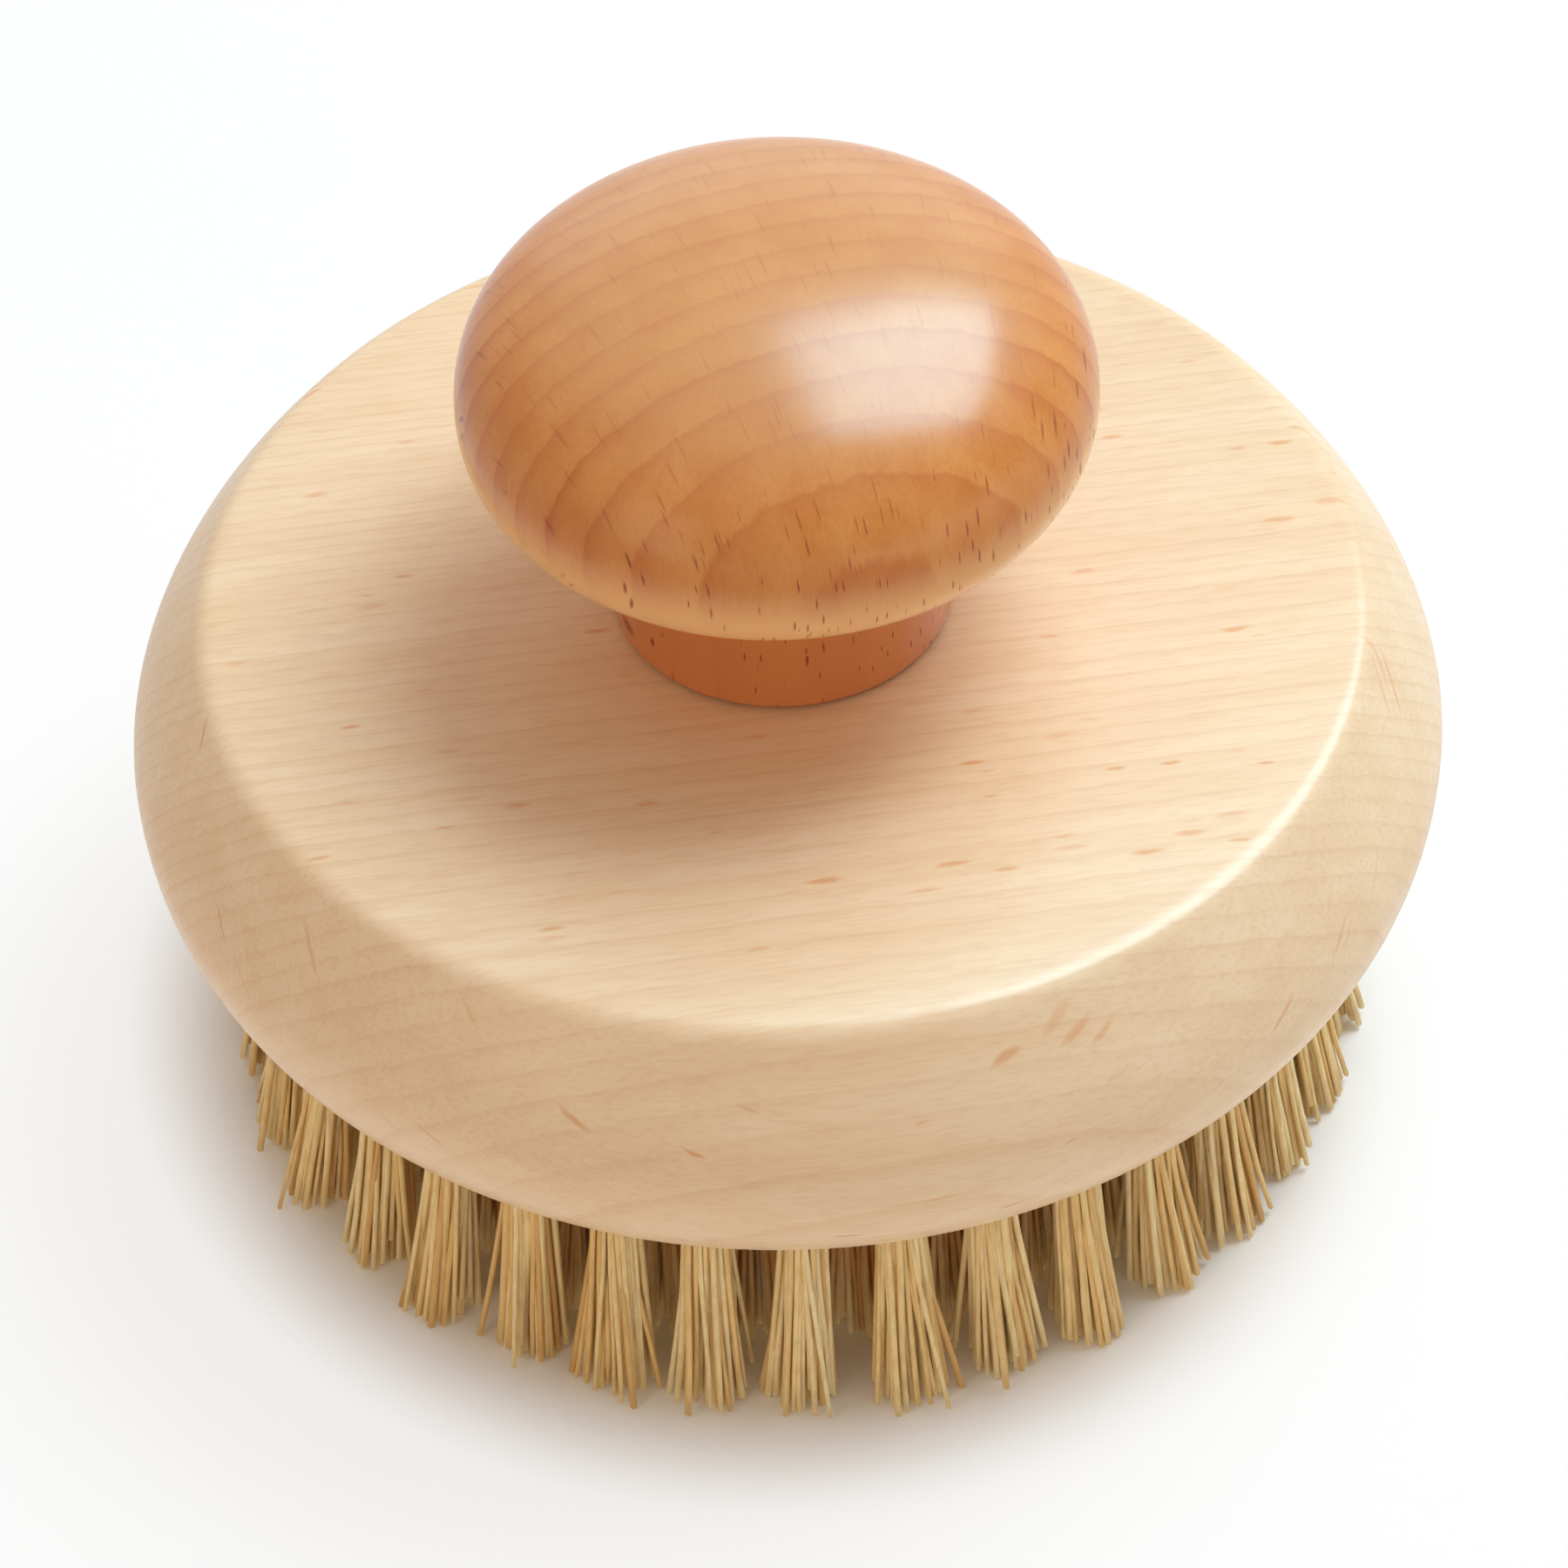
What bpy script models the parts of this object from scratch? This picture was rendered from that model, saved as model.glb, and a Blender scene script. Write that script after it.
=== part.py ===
"""Round scrub brush: a turned and drilled beech block, a turned knob, its screw and rows of plant fibre tufts.

Metres, +Z up. The brush stands on its fibre tips at z = 0, with the axis of block and knob on Z.
"""

import math

import bmesh
import bpy
from mathutils import Vector

# Clearances
seat_gap = 0.0003  # air between two pieces that touch
cutter_margin = 0.0010  # how far a cutter runs out past the face it opens
merge_distance = 0.00001  # corners closer than this are one

# Block
block_diameter = 0.0900  # at the widest level of the side
top_flat_diameter = 0.0788
drilled_flat_diameter = 0.0796
block_upper_height = 0.0105  # from the widest level up to the top face
block_lower_height = 0.0100  # from the widest level down to the drilled face
upper_fullness = 1.6  # exponent of the side's curve above the widest level
lower_fullness = 2.4  # exponent of the side's curve below the widest level
edge_round = 0.0012  # radius on the edges of the two flat faces
block_facets = 60
side_steps = 5
edge_steps = 2

# Knob
stem_diameter = 0.0230
stem_height = 0.0135  # from the block's top face to the flat underside of the cap
cove_radius = 0.0016  # hollow corner between the stem and the cap
cap_diameter = 0.0420
cap_under_diameter = 0.0335  # where the flat underside of the cap begins to curve up
cap_rim_height = 0.0047  # from the flat underside up to the cap's widest level
cap_dome_height = 0.0110  # from the widest level up to the crown
dome_fullness = 2.27  # exponent of the dome's curve, 2 being an ellipse
knob_facets = 48
dome_steps = 7
rim_steps = 4
cove_steps = 3

# Screw
screw_diameter = 0.0040
screw_head_diameter = 0.0080
screw_head_rim = 0.0004  # straight edge under the cone of the head
screw_point_length = 0.0030
screw_bite = 0.0140  # how far the screw reaches into the knob
screw_head_depth = 0.0010  # from the drilled face up to the head
cross_width = 0.0011
cross_length = 0.0046
cross_depth = 0.0016
screw_facets = 20

# Tufts
bristle_length = 0.0175  # from the drilled face down to the tips
hole_diameter = 0.0030
hole_depth = 0.0095
row_wall = 0.0030  # wood between two rows of holes
hole_wall = 0.0033  # wood between two holes of one row
edge_wall = 0.0023  # wood between the outer holes and the edge of the drilled face
centre_wall = 0.0020  # wood between the innermost row and the recess of the screw
outer_lean = 0.0025  # how far the tips of an outer tuft stand outside its hole
tuft_tip_diameter = 0.0048  # of the circle that a tuft's tips open to
hole_facets = 6
row_facets = 48

# Strands, each standing for a group of fibres
strand_sides = 3
outer_ring_strands = 5
inner_ring_strands = 3
root_clearance = 0.0001  # between the strands of a tuft where they leave the block
root_margin = 0.0001  # between the strands and the edge of the root they grow from
tip_clearance = 0.0005  # between strands at the tips
slice_thickness = 0.0012  # band of backing that carries an inner row
turn_between_tufts = math.radians(137.5)  # keeps neighbouring tufts from looking alike

# Colours and shading
beech_colour = (0.855, 0.610, 0.352, 1.0)
lacquered_beech_colour = (0.672, 0.328, 0.117, 1.0)
fibre_colour = (0.640, 0.440, 0.185, 1.0)
steel_colour = (0.560, 0.550, 0.530, 1.0)
sharp_edge_angle = math.radians(30)

# Levels and radii that follow from the sizes above
drilled_level = bristle_length
widest_level = drilled_level + block_lower_height
top_level = widest_level + block_upper_height
stem_foot_level = top_level + seat_gap
cap_under_level = top_level + stem_height
cap_widest_level = cap_under_level + cap_rim_height
screw_head_level = drilled_level + screw_head_depth
screw_cone_height = (screw_head_diameter - screw_diameter) / 2
screw_tip_level = stem_foot_level + screw_bite
screw_passage_radius = screw_diameter / 2 + seat_gap
screw_recess_radius = screw_head_diameter / 2 + seat_gap
hole_radius = hole_diameter / 2
root_radius = hole_radius - seat_gap
root_reach = root_radius * math.cos(math.pi / hole_facets) - root_margin
outer_row_radius = drilled_flat_diameter / 2 - edge_wall - hole_radius
row_step = hole_diameter + row_wall
strand_embed = slice_thickness / 2


def row_radii():
    """Radius of every row of tufts, from the outside in, for as long as a row clears the screw's recess."""
    radii = []
    radius = outer_row_radius
    while radius - hole_radius - centre_wall >= screw_recess_radius:
        radii.append(radius)
        radius -= row_step
    return radii


def tufts_in_row(radius):
    """Number of evenly spaced tufts that a row holds."""
    return round(2 * math.pi * radius / (hole_diameter + hole_wall))


def make_material(name, colour, roughness, metallic=0.0):
    """Principled material with one colour."""
    material = bpy.data.materials.new(name)
    material.use_nodes = True
    shader = material.node_tree.nodes["Principled BSDF"]
    shader.inputs["Base Color"].default_value = colour
    shader.inputs["Roughness"].default_value = roughness
    shader.inputs["Metallic"].default_value = metallic
    material.diffuse_color = colour
    return material


def place(name, shape, parent, location=(0, 0, 0), turn=0.0):
    """Turn a finished bmesh into a named object under its parent."""
    mesh = bpy.data.meshes.new(name)
    shape.to_mesh(mesh)
    shape.free()
    mesh.shade_smooth()
    mesh.set_sharp_from_angle(angle=sharp_edge_angle)
    piece = bpy.data.objects.new(name, mesh)
    piece.location = location
    piece.rotation_euler.z = turn
    piece.parent = parent
    bpy.context.collection.objects.link(piece)
    return piece


def place_helper(name, shape, parent, location=(0, 0, 0), turn=0.0):
    """Object that only cuts or joins another one, drawn as wires and left out of a render."""
    helper = place(name, shape, parent, location, turn)
    helper.display_type = "WIRE"
    helper.hide_render = True
    return helper


def combine(target, helper, operation):
    """Cut a helper out of a piece, or join it on."""
    boolean = target.modifiers.new(helper.name, "BOOLEAN")
    boolean.operation = operation
    boolean.solver = "EXACT"
    boolean.object = helper


def turned(outline, facets, closed=False):
    """Solid turned about Z from (radius, level) points that run down its outer side.

    An open outline is closed by a flat face at each end that stands off the axis.
    """
    shape = bmesh.new()
    corners = [shape.verts.new((radius, 0, level)) for radius, level in outline]
    pairs = list(zip(corners, corners[1:]))
    if closed:
        pairs.append((corners[-1], corners[0]))
    edges = [shape.edges.new(pair) for pair in pairs]
    bmesh.ops.spin(
        shape,
        geom=corners + edges,
        cent=(0, 0, 0),
        axis=(0, 0, 1),
        angle=2 * math.pi,
        steps=facets,
        use_merge=True,
    )
    bmesh.ops.remove_doubles(shape, verts=shape.verts, dist=merge_distance)
    rims = [edge for edge in shape.edges if edge.is_boundary]
    bmesh.ops.holes_fill(shape, edges=rims, sides=0)
    bmesh.ops.recalc_face_normals(shape, faces=shape.faces)
    return shape


def add_prism(shape, sides, ends, turn=0.0):
    """Add a closed prism between two ends, each a centre (x, y, z) and a radius to its corners."""
    rings = []
    for (x, y, z), radius in ends:
        angles = [turn + 2 * math.pi * side / sides for side in range(sides)]
        rings.append([shape.verts.new((x + radius * math.cos(a), y + radius * math.sin(a), z)) for a in angles])
    upper, lower = rings
    for side in range(sides):
        following = (side + 1) % sides
        shape.faces.new((upper[side], lower[side], lower[following], upper[following]))
    shape.faces.new(upper)
    shape.faces.new(list(reversed(lower)))


def rounded_corner(before, corner, after, radius):
    """Points of the arc that takes the place of a corner between two straight stretches, in running order."""
    corner = Vector(corner)
    arrive = (corner - Vector(before)).normalized()
    leave = (Vector(after) - corner).normalized()
    half_turn = arrive.angle(leave) / 2
    centre = corner + (leave - arrive).normalized() * radius / math.cos(half_turn)
    cut_back = radius * math.tan(half_turn)
    start = (corner - arrive * cut_back - centre).normalized()
    end = (corner + leave * cut_back - centre).normalized()
    return [tuple(centre + radius * start.slerp(end, step / edge_steps)) for step in range(edge_steps + 1)]


def block_side():
    """Bulging side of the block, from the edge of its top face down to the edge of the drilled face."""
    widest = block_diameter / 2
    points = []
    for step in range(side_steps, 0, -1):
        share = step / side_steps
        inset = (widest - top_flat_diameter / 2) * share**upper_fullness
        points.append((widest - inset, widest_level + block_upper_height * share))
    for step in range(side_steps + 1):
        share = step / side_steps
        inset = (widest - drilled_flat_diameter / 2) * share**lower_fullness
        points.append((widest - inset, widest_level - block_lower_height * share))
    return points


def block_outline():
    """Side of the block with its two edges rounded over."""
    side = block_side()
    top_edge = rounded_corner((0, top_level), side[0], side[1], edge_round)
    drilled_edge = rounded_corner(side[-2], side[-1], (0, drilled_level), edge_round)
    return top_edge + side[1:-1] + drilled_edge


def outer_holes():
    """Blind holes of the outer row, each as deep as its folded tuft, as one set of cutters."""
    shape = bmesh.new()
    count = tufts_in_row(outer_row_radius)
    for index in range(count):
        azimuth = 2 * math.pi * index / count
        x = outer_row_radius * math.cos(azimuth)
        y = outer_row_radius * math.sin(azimuth)
        floor = (x, y, drilled_level + hole_depth)
        mouth = (x, y, drilled_level - cutter_margin)
        add_prism(shape, hole_facets, ((floor, hole_radius), (mouth, hole_radius)), azimuth)
    bmesh.ops.recalc_face_normals(shape, faces=shape.faces)
    return shape


def ring_outline(radius, half_width, upper, lower):
    """Square section of a ring."""
    return [
        (radius + half_width, upper),
        (radius + half_width, lower),
        (radius - half_width, lower),
        (radius - half_width, upper),
    ]


def screw_passage():
    """Way of the screw through the block: recess, cone of the head and clearance for the shank."""
    cone_foot = screw_head_level + screw_head_rim
    return turned(
        [
            (screw_passage_radius, top_level + cutter_margin),
            (screw_passage_radius, cone_foot + screw_cone_height + seat_gap),
            (screw_recess_radius, cone_foot + seat_gap),
            (screw_recess_radius, drilled_level - cutter_margin),
        ],
        screw_facets,
    )


def make_block(brush, material):
    """Turned block, drilled for the outer tufts, grooved for the inner rows and bored for the screw."""
    block = place("block", turned(block_outline(), block_facets), brush)
    block.data.materials.append(material)
    combine(block, place_helper("outer_hole_cutters", outer_holes(), brush), "DIFFERENCE")
    for number, radius in enumerate(row_radii()[1:], start=2):
        groove_roof = drilled_level + slice_thickness + seat_gap
        groove = ring_outline(radius, hole_radius, groove_roof, drilled_level - cutter_margin)
        cutter = place_helper(f"row_{number}_groove_cutter", turned(groove, row_facets, closed=True), brush)
        combine(block, cutter, "DIFFERENCE")
    combine(block, place_helper("screw_passage_cutter", screw_passage(), brush), "DIFFERENCE")
    return block


def knob_outline():
    """Crown, dome, rim, flat underside, cove and stem, then up the pilot hole of the screw."""
    widest = cap_diameter / 2
    points = []
    for step in range(dome_steps + 1):
        angle = step / dome_steps * math.pi / 2
        radius = widest * math.sin(angle) ** (2 / dome_fullness)
        level = cap_widest_level + cap_dome_height * max(0.0, math.cos(angle)) ** (2 / dome_fullness)
        points.append((radius, level))
    rim_width = widest - cap_under_diameter / 2
    for step in range(1, rim_steps + 1):
        angle = step / rim_steps * math.pi / 2
        radius = cap_under_diameter / 2 + rim_width * math.cos(angle)
        points.append((radius, cap_widest_level - cap_rim_height * math.sin(angle)))
    for step in range(cove_steps + 1):
        angle = step / cove_steps * math.pi / 2
        radius = stem_diameter / 2 + cove_radius * (1 - math.sin(angle))
        points.append((radius, cap_under_level - cove_radius * (1 - math.cos(angle))))
    points.append((stem_diameter / 2, stem_foot_level))
    points.append((screw_passage_radius, stem_foot_level))
    points.append((screw_passage_radius, screw_tip_level - screw_point_length + seat_gap))
    points.append((0, screw_tip_level + 2 * seat_gap))
    return points


def make_knob(brush, material):
    """Knob turned in one piece with its stem, standing on the block."""
    knob = place("knob", turned(knob_outline(), knob_facets), brush)
    knob.data.materials.append(material)
    return knob


def cross_recess():
    """Cross for the driver, sunk into the head of the screw, as one star-shaped prism."""
    half_length = cross_length / 2
    half_width = cross_width / 2
    corner_angle = math.atan2(half_width, half_length)
    arm_reach = math.hypot(half_length, half_width)
    outline = []
    for arm in range(4):
        along = arm * math.pi / 2
        for angle, reach in (
            (along - corner_angle, arm_reach),
            (along + corner_angle, arm_reach),
            (along + math.pi / 4, half_width * math.sqrt(2)),
        ):
            outline.append((reach * math.cos(angle), reach * math.sin(angle)))
    shape = bmesh.new()
    lower = [shape.verts.new((x, y, screw_head_level - cutter_margin)) for x, y in outline]
    face = shape.faces.new(lower)
    grown = bmesh.ops.extrude_face_region(shape, geom=[face])
    risen = [item for item in grown["geom"] if isinstance(item, bmesh.types.BMVert)]
    bmesh.ops.translate(shape, verts=risen, vec=(0, 0, cutter_margin + cross_depth))
    bmesh.ops.recalc_face_normals(shape, faces=shape.faces)
    return shape


def make_screw(brush, material):
    """Countersunk wood screw, driven up through the block into the knob."""
    cone_foot = screw_head_level + screw_head_rim
    outline = [
        (0, screw_tip_level),
        (screw_diameter / 2, screw_tip_level - screw_point_length),
        (screw_diameter / 2, cone_foot + screw_cone_height),
        (screw_head_diameter / 2, cone_foot),
        (screw_head_diameter / 2, screw_head_level),
    ]
    screw = place("knob_screw", turned(outline, screw_facets), brush)
    screw.data.materials.append(material)
    combine(screw, place_helper("cross_recess_cutter", cross_recess(), brush), "DIFFERENCE")
    return screw


def strand_radius(reach, ring_strands, has_middle, clearance):
    """Largest radius with which a ring of strands, and one in its middle, fit a circle side by side."""
    spacing = math.sin(math.pi / ring_strands)
    radius = (reach * spacing - clearance / 2) / (1 + spacing)
    if has_middle:
        radius = min(radius, (reach - clearance) / 3)
    return radius


def add_strands(shape, row_radius, azimuth, ring_strands, has_middle, turn, centre=(0.0, 0.0)):
    """Add one tuft's strands, which fan out from the drilled face to flat tips at the same level."""
    lean = outer_lean * row_radius / outer_row_radius
    tip_reach = tuft_tip_diameter / 2
    root_strand = strand_radius(root_reach, ring_strands, has_middle, root_clearance)
    tip_strand = strand_radius(tip_reach, ring_strands, has_middle, tip_clearance)
    tip_centre = (centre[0] + lean * math.cos(azimuth), centre[1] + lean * math.sin(azimuth))
    places = [(turn + 2 * math.pi * step / ring_strands, 1) for step in range(ring_strands)]
    if has_middle:
        places.append((turn, 0))
    for angle, out in places:
        root_out = out * (root_reach - root_strand)
        tip_out = out * (tip_reach - tip_strand)
        root = (centre[0] + root_out * math.cos(angle), centre[1] + root_out * math.sin(angle), strand_embed)
        tip = (tip_centre[0] + tip_out * math.cos(angle), tip_centre[1] + tip_out * math.sin(angle), -bristle_length)
        add_prism(shape, strand_sides, ((root, root_strand), (tip, tip_strand)), angle)


def make_outer_tuft(index, brush, material):
    """Tuft of the outer row: its folded root fills a blind hole, and its strands lean outwards."""
    azimuth = 2 * math.pi * index / tufts_in_row(outer_row_radius)
    location = (outer_row_radius * math.cos(azimuth), outer_row_radius * math.sin(azimuth), drilled_level)
    root = bmesh.new()
    root_top = ((0, 0, hole_depth - seat_gap), root_radius)
    add_prism(root, hole_facets, (root_top, ((0, 0, 0), root_radius)))
    bmesh.ops.recalc_face_normals(root, faces=root.faces)
    tuft = place(f"outer_tuft_{index + 1:02d}", root, brush, location, azimuth)
    tuft.data.materials.append(material)
    strands = bmesh.new()
    add_strands(strands, outer_row_radius, 0.0, outer_ring_strands, True, index * turn_between_tufts)
    bmesh.ops.recalc_face_normals(strands, faces=strands.faces)
    helper = place_helper(f"outer_strands_{index + 1:02d}", strands, brush, location, azimuth)
    combine(tuft, helper, "UNION")
    return tuft


def make_inner_row(number, radius, brush, material):
    """Inner row of tufts on the band of backing that holds them together."""
    band = ring_outline(radius, root_radius, slice_thickness, 0)
    location = (0, 0, drilled_level)
    row = place(f"tuft_row_{number}", turned(band, row_facets, closed=True), brush, location)
    row.data.materials.append(material)
    strands = bmesh.new()
    count = tufts_in_row(radius)
    stagger = 0.5 if number % 2 else 0.0
    for index in range(count):
        azimuth = 2 * math.pi * (index + stagger) / count
        centre = (radius * math.cos(azimuth), radius * math.sin(azimuth))
        turn = index * turn_between_tufts
        add_strands(strands, radius, azimuth, inner_ring_strands, False, turn, centre)
    bmesh.ops.recalc_face_normals(strands, faces=strands.faces)
    helper = place_helper(f"row_{number}_strands", strands, brush, location)
    combine(row, helper, "UNION")
    return row


def main():
    for item in list(bpy.data.objects):
        bpy.data.objects.remove(item, do_unlink=True)
    beech = make_material("beech", beech_colour, 0.45)
    lacquered_beech = make_material("lacquered_beech", lacquered_beech_colour, 0.22)
    fibre = make_material("plant_fibre", fibre_colour, 0.60)
    steel = make_material("zinc_plated_steel", steel_colour, 0.35, metallic=1.0)
    brush = bpy.data.objects.new("brush", None)
    bpy.context.collection.objects.link(brush)
    make_block(brush, beech)
    make_knob(brush, lacquered_beech)
    make_screw(brush, steel)
    for index in range(tufts_in_row(outer_row_radius)):
        make_outer_tuft(index, brush, fibre)
    for number, radius in enumerate(row_radii()[1:], start=2):
        make_inner_row(number, radius, brush, fibre)


main()
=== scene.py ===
# %% [markdown]
# Mini scrub brush: the looks
#
# A small round hand brush. A pale beech block with a bulging side carries a darker, lacquered knob on top
# and a field of plant fibre tufts underneath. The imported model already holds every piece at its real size,
# so this script only dresses it: it turns smooth wooden pieces, plants the fibres one by one, and gives
# each surface its finish. Everything is in metres, with +Z up and the fibre tips standing at z = 0.

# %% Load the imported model
import math
import random

import bpy
from mathutils import Matrix, Vector


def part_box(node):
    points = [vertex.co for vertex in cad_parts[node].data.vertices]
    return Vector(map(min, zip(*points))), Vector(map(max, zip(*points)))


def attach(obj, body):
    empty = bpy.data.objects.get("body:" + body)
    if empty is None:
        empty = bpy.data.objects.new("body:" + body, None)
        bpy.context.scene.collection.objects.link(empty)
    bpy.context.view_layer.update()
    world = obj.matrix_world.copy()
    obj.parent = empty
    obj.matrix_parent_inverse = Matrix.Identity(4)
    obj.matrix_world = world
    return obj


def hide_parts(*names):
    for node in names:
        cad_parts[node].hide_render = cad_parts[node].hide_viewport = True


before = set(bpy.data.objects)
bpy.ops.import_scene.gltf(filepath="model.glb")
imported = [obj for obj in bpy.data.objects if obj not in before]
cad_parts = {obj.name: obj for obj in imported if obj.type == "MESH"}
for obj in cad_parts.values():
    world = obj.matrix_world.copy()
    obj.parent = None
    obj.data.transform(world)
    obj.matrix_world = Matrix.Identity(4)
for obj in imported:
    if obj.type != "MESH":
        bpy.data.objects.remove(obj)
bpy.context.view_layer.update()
block_low, block_high = (Vector(corner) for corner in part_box("block"))
knob_low, knob_high = (Vector(corner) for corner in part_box("knob"))
screw_low, screw_high = (Vector(corner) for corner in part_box("knob_screw"))
print("pieces in the packed model:", len(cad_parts))

# %% [markdown]
# The camera comes first, because every later choice is judged through it. The photograph looks down at the
# brush at about 45 degrees from the front, through a long lens, with the picture tipped by a couple of
# degrees. The three small turns are the camera's own, made about its own axes after it has been aimed.

# %% Aim the camera
view_distance = 0.3608
view_elevation = math.radians(45.40)
camera_turns = {"Y": 0.06, "X": -0.92, "Z": -1.86}
focal_length = 120
widest_level = block_low.z + 0.0100
aim_point = Vector((0, 0, widest_level))

camera_data = bpy.data.cameras.new("camera")
camera_data.lens = focal_length
camera_data.sensor_width = 36
camera_data.clip_start = 0.01
camera = bpy.data.objects.new("camera", camera_data)
bpy.context.collection.objects.link(camera)
toward_camera = Vector((0, -math.cos(view_elevation), math.sin(view_elevation)))
aim = Matrix.Rotation(math.pi / 2 - view_elevation, 4, "X")
for axis, degrees in camera_turns.items():
    aim = aim @ Matrix.Rotation(math.radians(degrees), 4, axis)
camera.matrix_world = Matrix.Translation(aim_point + toward_camera * view_distance) @ aim
bpy.context.scene.camera = camera
bpy.context.scene.view_settings.view_transform = "Standard"
print("camera at", [round(value, 3) for value in camera.location])

# %% [markdown]
# Block and knob are both lathe work, so they are made here the way a lathe makes them: an outline is drawn
# point by point, from the top down its outer side, and spun once round the axis. An outline may stop short
# of the axis, which leaves a round flat end to be filled by one face. That keeps the flat faces simple, so
# that holes can be cut in them cleanly later.

# %% A helper that turns an outline
def start_editing():
    """Deselect everything, so that an operator acts only on what is added next."""
    if bpy.context.mode != "OBJECT":
        bpy.ops.object.mode_set(mode="OBJECT")
    bpy.ops.object.select_all(action="DESELECT")


def turn_on_lathe(name, outline, facets):
    """Draw (radius, level) points in edit mode, spin them round Z and close the ends."""
    start_editing()
    bpy.ops.mesh.primitive_plane_add(size=0.001)
    piece = bpy.context.active_object
    piece.name = name
    bpy.ops.object.mode_set(mode="EDIT")
    bpy.ops.mesh.merge(type="CENTER")
    bpy.ops.transform.translate(value=(outline[0][0], 0, outline[0][1]))
    for (radius, level), (next_radius, next_level) in zip(outline, outline[1:]):
        step = (next_radius - radius, 0, next_level - level)
        bpy.ops.mesh.extrude_vertices_move(TRANSFORM_OT_translate={"value": step})
    bpy.ops.mesh.select_all(action="SELECT")
    bpy.ops.mesh.spin(steps=facets, angle=2 * math.pi, center=(0, 0, 0), axis=(0, 0, 1))
    bpy.ops.mesh.select_all(action="SELECT")
    bpy.ops.mesh.remove_doubles(threshold=0.000004)
    bpy.ops.mesh.fill_holes(sides=0)
    bpy.ops.mesh.select_all(action="SELECT")
    bpy.ops.mesh.normals_make_consistent(inside=False)
    bpy.ops.object.mode_set(mode="OBJECT")
    return piece


def smooth(piece, degrees=30):
    """Shade a piece smooth, apart from edges sharper than an angle."""
    start_editing()
    piece.select_set(True)
    bpy.context.view_layer.objects.active = piece
    bpy.ops.object.shade_smooth_by_angle(angle=math.radians(degrees))


def rounded_corner(before, corner, after, radius, steps):
    """Points of the arc that takes the place of a corner between two straight stretches."""
    corner = Vector(corner)
    arrive = (corner - Vector(before)).normalized()
    leave = (Vector(after) - corner).normalized()
    half_turn = arrive.angle(leave) / 2
    centre = corner + (leave - arrive).normalized() * radius / math.cos(half_turn)
    cut_back = radius * math.tan(half_turn)
    start = (corner - arrive * cut_back - centre).normalized()
    end = (corner + leave * cut_back - centre).normalized()
    return [tuple(centre + radius * start.slerp(end, step / steps)) for step in range(steps + 1)]


# %% [markdown]
# The block is about 20 mm of beech with a flat top, a bulging side and a flat underside. Its side is
# fullest a little below the middle and runs straighter towards the top edge, which the turner has only just
# broken. Two power curves give that bulge, and a small arc rounds each edge. A support ring just inside
# each flat face keeps the shading of the edge from washing over the face.

# %% Turn the block
lathe_facets = 192
top_flat_radius = 0.0394
drilled_flat_radius = 0.0398
upper_fullness = 1.6
lower_fullness = 2.4
top_edge_round = 0.0018
drilled_edge_round = 0.0012
support_inset = 0.0005
side_steps = 14
top_edge_steps = 6
drilled_edge_steps = 4


def block_side(steps):
    """Bulging side of the block, from the edge of the top face to the edge of the drilled face."""
    widest = block_high.x
    points = []
    for step in range(steps, 0, -1):
        share = step / steps
        inset = (widest - top_flat_radius) * share**upper_fullness
        points.append((widest - inset, widest_level + (block_high.z - widest_level) * share))
    for step in range(steps + 1):
        share = step / steps
        inset = (widest - drilled_flat_radius) * share**lower_fullness
        points.append((widest - inset, widest_level - (widest_level - block_low.z) * share))
    return points


side = block_side(side_steps)
top_edge = rounded_corner((0, block_high.z), side[0], side[1], top_edge_round, top_edge_steps)
drilled_edge = rounded_corner(
    side[-2], side[-1], (0, block_low.z), drilled_edge_round, drilled_edge_steps
)
clear_side = [point for point in side[1:-1] if drilled_edge[0][1] < point[1] < top_edge[-1][1]]
block_outline = [(top_edge[0][0] - support_inset, block_high.z)] + top_edge + clear_side + drilled_edge
block_outline.append((drilled_edge[-1][0] - support_inset, block_low.z))
block = turn_on_lathe("block_wood", block_outline, lathe_facets)
print("block turned:", len(block.data.polygons), "faces")

# %% [markdown]
# Under the block, 120 blind holes stand in five circles, each holding one tuft. The middle stays free for
# the screw that holds the knob: its head lies in a round recess with a cone under it. One drill is modelled
# for each kind of hole, copied to every place and cut out of the block in one go.

# %% Drill the block
hole_radius = 0.0015
hole_depth = 0.0095
outer_row_radius = 0.0360
row_step = 0.0060
tuft_pitch = 0.0063
row_radii = [outer_row_radius - row_step * row for row in range(5)]
screw_passage_radius = 0.0023
screw_recess_radius = 0.0043
drill_run_out = 0.0010
drill_point = 0.0012
drill_facets = 20
recess_shoulder = 0.0007
recess_cone_top = 0.0027
recess_facets = 40


def tuft_azimuths(row):
    """Azimuth of every tuft in a row, odd inner rows being set half a step round."""
    count = round(2 * math.pi * row_radii[row] / tuft_pitch)
    stagger = 0.5 if row in (2, 4) else 0.0
    return [2 * math.pi * (index + stagger) / count for index in range(count)]


def join_pieces(name, pieces):
    """Join several pieces into one object."""
    start_editing()
    for piece in pieces:
        piece.select_set(True)
    bpy.context.view_layer.objects.active = pieces[0]
    bpy.ops.object.join()
    pieces[0].name = name
    return pieces[0]


def copy_to(source, location, azimuth=0.0):
    """Copy a piece with its own mesh, turned about Z and moved to a place."""
    copy = bpy.data.objects.new(source.name, source.data.copy())
    copy.data.transform(Matrix.Translation(location) @ Matrix.Rotation(azimuth, 4, "Z"))
    bpy.context.collection.objects.link(copy)
    return copy


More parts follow.
